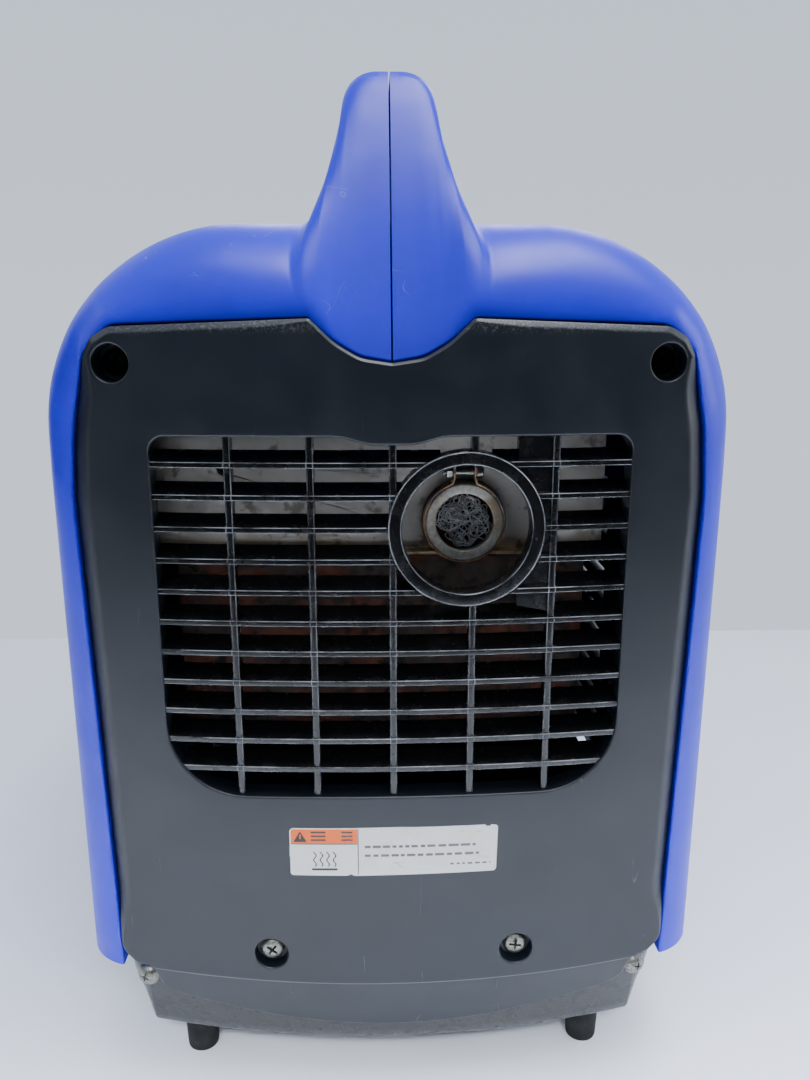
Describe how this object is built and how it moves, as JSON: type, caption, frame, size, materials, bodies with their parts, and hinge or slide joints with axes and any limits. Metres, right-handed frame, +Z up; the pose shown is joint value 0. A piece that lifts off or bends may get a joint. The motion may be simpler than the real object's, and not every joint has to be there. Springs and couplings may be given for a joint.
{
  "type": "inverter generator",
  "caption": "Portable suitcase inverter generator: blue twin-shell housing with a carrying handle, louvred exhaust end, control end, petrol engine, fuel tank and inverter.",
  "frame": {"origin": "centre of the ground footprint, under the rubber feet", "axes": "+Z up; +Y towards the control panel end, -Y towards the exhaust end; +X towards the recoil starter side"},
  "size_m": [0.28, 0.49, 0.445],
  "materials": {
    "blue_plastic": "satin moulded",
    "charcoal_plastic": "fine spark-eroded grain",
    "black_plastic": "satin",
    "black_screw": "black zinc",
    "plated_screw": "zinc plated",
    "label_film": "printed film",
    "tray_paint": "gloss black enamel",
    "foot_rubber": "matte",
    "white_plastic": "glossy",
    "lens_plastic": "clear tinted",
    "brass_parts": "plain",
    "cast_alloy": "as cast",
    "machined_steel": "machined",
    "winding": "enamelled copper wire",
    "muffler_steel": "heat tinted",
    "shroud_steel": "brushed",
    "pipe_steel": "dull warm grey",
    "filter_foam": "open cell foam",
    "rope_fibre": "braided"
  },
  "bodies": {
    "chassis": {"left_shell": "blue_plastic", "right_shell": "blue_plastic", "rear_panel": "charcoal_plastic", "rear_upper_screws": "black_screw", "rear_lower_screws": "plated_screw", "rear_label": "label_film", "base_tray": "tray_paint", "tray_bolts": "plated_screw", "rubber_feet": "foot_rubber", "front_cover": "charcoal_plastic", "control_plate": "charcoal_plastic", "front_screws": "black_screw", "ac_receptacle_upper": "black_plastic", "ac_receptacle_lower": "black_plastic", "dc_outlet": "black_plastic", "dc_breaker": "black_plastic", "eco_switch": "black_plastic", "indicator_lenses": "lens_plastic", "earth_terminal": "brass_parts", "inverter_unit": "cast_alloy", "fuel_tank": "black_plastic", "tank_grommet": "foot_rubber", "fuel_strainer": "white_plastic", "fuel_hoses": "foot_rubber", "fuel_valve": "cast_alloy", "engine_block": "cast_alloy", "cylinder_head": "cast_alloy", "valve_cover": "black_screw", "stator": "winding", "spark_plug": "white_plastic", "plug_cap": "foot_rubber", "carburettor": "cast_alloy", "engine_mounts": "foot_rubber", "air_cleaner_case": "black_plastic", "air_filter_element": "filter_foam", "air_cleaner_cover": "black_plastic", "recoil_housing": "charcoal_plastic", "muffler": "muffler_steel", "muffler_shroud": "shroud_steel", "tail_pipe": "pipe_steel", "spark_arrester": "machined_steel", "arrester_clamp": "muffler_steel", "clamp_screw": "machined_steel"},
    "cap_seal": {"cap_gasket": "foot_rubber"},
    "cap_lid": {"fuel_cap": "black_plastic"},
    "cap_vent": {"cap_vent_knob": "black_plastic"},
    "run_knob": {"engine_knob": "black_plastic"},
    "choke": {"choke_knob": "black_plastic"},
    "eco_button": {"eco_rocker": "black_plastic"},
    "breaker_button": {"dc_breaker_button": "white_plastic"},
    "side_cover": {"service_cover": "blue_plastic"},
    "cover_screw": {"service_screw": "black_screw"},
    "oil_cap": {"oil_filler_cap": "black_plastic"},
    "rotor": {"crankshaft": "machined_steel", "flywheel_rotor": "machined_steel", "cooling_fan": "black_plastic", "starter_cup": "machined_steel"},
    "reel": {"recoil_reel": "black_plastic"},
    "starter_grip": {"recoil_grip": "black_plastic", "recoil_rope": "rope_fibre"}
  },
  "joints": [
    {"name": "cap_lift", "type": "slide", "parent": "chassis", "child": "cap_seal", "axis": [0, 0, 1], "range_m": [0, 0.03]},
    {"name": "cap_turn", "type": "hinge", "parent": "cap_seal", "child": "cap_lid", "pos_m": [-0.068, 0.04, 0.392], "axis": [0, 0, 1], "range_deg": [0, 120]},
    {"name": "vent_turn", "type": "hinge", "parent": "cap_lid", "child": "cap_vent", "pos_m": [-0.068, 0.04, 0.398], "axis": [0, 0, 1], "range_deg": [0, 90]},
    {"name": "run_knob_turn", "type": "hinge", "parent": "chassis", "child": "run_knob", "pos_m": [0.06, 0.23, 0.274], "axis": [0, -1, 0], "range_deg": [0, 90]},
    {"name": "choke_pull", "type": "slide", "parent": "chassis", "child": "choke", "axis": [0, 1, 0], "range_m": [0, 0.018]},
    {"name": "eco_rock", "type": "hinge", "parent": "chassis", "child": "eco_button", "pos_m": [0.004, 0.223, 0.266], "axis": [0, 0, 1], "range_deg": [0, 22]},
    {"name": "breaker_pop", "type": "slide", "parent": "chassis", "child": "breaker_button", "axis": [0, 1, 0], "range_m": [0, 0.003]},
    {"name": "cover_pull", "type": "slide", "parent": "chassis", "child": "side_cover", "axis": [-1, 0, 0], "range_m": [0, 0.05]},
    {"name": "cover_screw_turn", "type": "hinge", "parent": "side_cover", "child": "cover_screw", "pos_m": [-0.139, 0.046, 0.236], "axis": [-1, 0, 0], "range_deg": [0, 1080]},
    {"name": "oil_cap_turn", "type": "hinge", "parent": "chassis", "child": "oil_cap", "pos_m": [-0.07, 0.04, 0.108], "axis": [-1, 0, 0], "range_deg": [0, 720]},
    {"name": "crank_spin", "type": "hinge", "parent": "chassis", "child": "rotor", "pos_m": [0.05, 0.01, 0.15], "axis": [1, 0, 0], "continuous": true},
    {"name": "recoil_pull", "type": "slide", "parent": "chassis", "child": "starter_grip", "axis": [1, 0, 0], "range_m": [0, 0.6], "stiffness_N_per_m": 8, "springref_m": -0.5, "deforming": ["recoil_rope"]},
    {"name": "reel_spin", "type": "hinge", "parent": "chassis", "child": "reel", "pos_m": [0.115, 0.01, 0.15], "axis": [-1, 0, 0], "range_deg": [0, 960]}
  ],
  "couplings": [
    {"joint": "reel_spin", "follows": "recoil_pull", "rad_per_m": 27.78}
  ]
}
